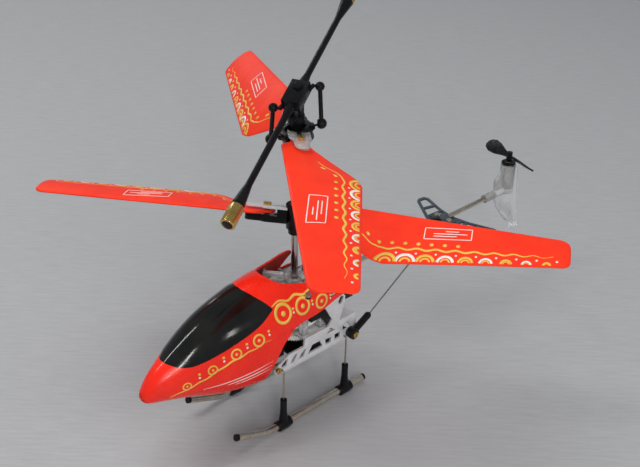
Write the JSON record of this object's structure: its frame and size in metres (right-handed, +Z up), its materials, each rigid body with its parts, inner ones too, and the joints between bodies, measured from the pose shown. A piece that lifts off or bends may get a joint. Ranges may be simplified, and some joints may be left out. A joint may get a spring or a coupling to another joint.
{
  "type": "remote control helicopter",
  "caption": "Micro coaxial helicopter with two contra-rotating rotors, tilting flybar, red canopy, open metal frame, skids and a tail rotor that blows upwards.",
  "frame": {"origin": "where the mast axis meets the plane that the skid feet stand on", "axes": "+Z up along the mast, +Y towards the tail, -Y towards the nose, +X to port"},
  "size_m": [0.1689, 0.2062, 0.1463],
  "materials": {
    "red_shell": "high gloss moulded plastic with gold and white print",
    "red_blade": "satin moulded plastic with gold and white print",
    "smoked_window": "high gloss smoked plastic",
    "aluminium": "satin anodised sheet",
    "black_plastic": "semi-matt moulded plastic",
    "clear_plastic": "clear moulded plastic",
    "steel": "ground steel",
    "brass": "turned brass",
    "champagne_tube": "champagne plated tube",
    "lattice_plastic": "dark blue grey moulded plastic",
    "pale_brass": "pale brass plated screws",
    "screw_steel": "plated screw with a dark washer face",
    "white_plastic": "acetal gear plastic",
    "motor_can": "drawn steel can",
    "battery_wrap": "foil pouch",
    "board_green": "solder mask",
    "socket_plastic": "moulded socket"
  },
  "bodies": {
    "airframe": {"battery": "battery_wrap", "boom_mount": "black_plastic", "brace_band": "black_plastic", "brace_knuckles": "black_plastic", "brace_screws": "brass", "brace_wires": "brass", "canopy": "red_shell", "canopy_screws": "screw_steel", "canopy_window": "smoked_window", "charge_socket": "socket_plastic", "circuit_board": "board_green", "floor_plate": "black_plastic", "frame_screws": "brass", "front_motor": "motor_can", "gear_case": "clear_plastic", "leg_wires": "brass", "mast_bearings": "steel", "motor_carrier": "black_plastic", "rear_motor": "motor_can", "roof_rail": "aluminium", "side_plate_left": "aluminium", "side_plate_right": "aluminium", "skid_left": "champagne_tube", "skid_plugs": "black_plastic", "skid_right": "champagne_tube", "skid_sockets": "black_plastic", "stabiliser": "lattice_plastic", "stabiliser_clamp": "lattice_plastic", "stabiliser_screws": "pale_brass", "switch_body": "black_plastic", "tail_boom": "champagne_tube", "tail_collar": "black_plastic", "tail_housing": "clear_plastic", "tail_motor": "motor_can"},
    "lower_rotor": {"mast_tube": "steel", "outer_gear": "white_plastic", "mast_collar": "black_plastic", "lower_hub": "black_plastic", "lower_grip_plates": "aluminium", "lower_blade_screws": "brass"},
    "lower_blade_a": {"lower_blade_a": "red_blade"},
    "lower_blade_b": {"lower_blade_b": "red_blade"},
    "upper_rotor": {"inner_shaft": "steel", "inner_gear": "white_plastic", "mast_head": "black_plastic", "hub_pin": "steel", "flybar_pin": "steel"},
    "upper_hub": {"upper_hub": "black_plastic", "upper_grip_plates": "clear_plastic", "upper_blade_screws": "brass"},
    "upper_blade_a": {"upper_blade_a": "red_blade"},
    "upper_blade_b": {"upper_blade_b": "red_blade"},
    "flybar": {"flybar": "black_plastic", "flybar_weights": "brass"},
    "link_far": {"link_far": "black_plastic"},
    "link_near": {"link_near": "black_plastic"},
    "front_pinion": {"front_pinion": "white_plastic"},
    "rear_pinion": {"rear_pinion": "white_plastic"},
    "tail_rotor": {"tail_propeller": "black_plastic"},
    "power_switch": {"power_switch": "black_plastic"}
  },
  "joints": [
    {"name": "lower_rotor_spin", "type": "hinge", "parent": "airframe", "child": "lower_rotor", "pos_m": [0, 0, 0.0784], "axis": [0, 0, 1], "continuous": true},
    {"name": "upper_rotor_spin", "type": "hinge", "parent": "airframe", "child": "upper_rotor", "pos_m": [0, 0, 0.1095], "axis": [0, 0, 1], "continuous": true},
    {"name": "front_pinion_spin", "type": "hinge", "parent": "airframe", "child": "front_pinion", "pos_m": [0, -0.01058, 0.0365], "axis": [0, 0, 1], "continuous": true},
    {"name": "rear_pinion_spin", "type": "hinge", "parent": "airframe", "child": "rear_pinion", "pos_m": [0, 0.01058, 0.031], "axis": [0, 0, 1], "continuous": true},
    {"name": "lower_blade_a_swing", "type": "hinge", "parent": "lower_rotor", "child": "lower_blade_a", "pos_m": [0.00823, 0.00568, 0.0784], "axis": [0.1755, -0.2544, 0.9511], "range_deg": [-18, 18]},
    {"name": "lower_blade_b_swing", "type": "hinge", "parent": "lower_rotor", "child": "lower_blade_b", "pos_m": [-0.00793, -0.00609, 0.0784], "axis": [-0.1881, 0.2452, 0.9511], "range_deg": [-18, 18]},
    {"name": "flybar_teeter", "type": "hinge", "parent": "upper_rotor", "child": "flybar", "pos_m": [0, 0, 0.1222], "axis": [-0.9085, -0.4179, 0], "range_deg": [0, 45.6]},
    {"name": "hub_feather", "type": "hinge", "parent": "upper_rotor", "child": "upper_hub", "pos_m": [0, 0, 0.1095], "axis": [-0.809, 0.5878, 0], "range_deg": [0, 32.7]},
    {"name": "link_far_pivot", "type": "hinge", "parent": "flybar", "child": "link_far", "pos_m": [0.00268, 0.00804, 0.12426], "axis": [-0.9085, -0.4179, 0], "range_deg": [-45.6, 0]},
    {"name": "link_near_pivot", "type": "hinge", "parent": "flybar", "child": "link_near", "pos_m": [-0.00285, -0.00769, 0.11922], "axis": [-0.9085, -0.4179, 0], "range_deg": [-45.6, 0]},
    {"name": "upper_blade_a_swing", "type": "hinge", "parent": "upper_hub", "child": "upper_blade_a", "pos_m": [0.00809, -0.00588, 0.1095], "axis": [0.1242, 0.171, 0.9774], "range_deg": [-12, 12]},
    {"name": "upper_blade_b_swing", "type": "hinge", "parent": "upper_hub", "child": "upper_blade_b", "pos_m": [-0.00809, 0.00588, 0.1095], "axis": [-0.4214, -0.58, 0.6972], "range_deg": [-12, 12]},
    {"name": "tail_rotor_spin", "type": "hinge", "parent": "airframe", "child": "tail_rotor", "pos_m": [0, 0.1259, 0.0613], "axis": [0, 0, 1], "continuous": true},
    {"name": "power_switch_slide", "type": "slide", "parent": "airframe", "child": "power_switch", "axis": [1, 0, 0], "range_m": [0, 0.0015]}
  ],
  "couplings": [
    {"joint": "front_pinion_spin", "follows": "lower_rotor_spin", "ratio": -6},
    {"joint": "rear_pinion_spin", "follows": "upper_rotor_spin", "ratio": -6},
    {"joint": "hub_feather", "follows": "flybar_teeter", "ratio": 0.715},
    {"joint": "link_far_pivot", "follows": "flybar_teeter", "ratio": -1},
    {"joint": "link_near_pivot", "follows": "flybar_teeter", "ratio": -1}
  ]
}
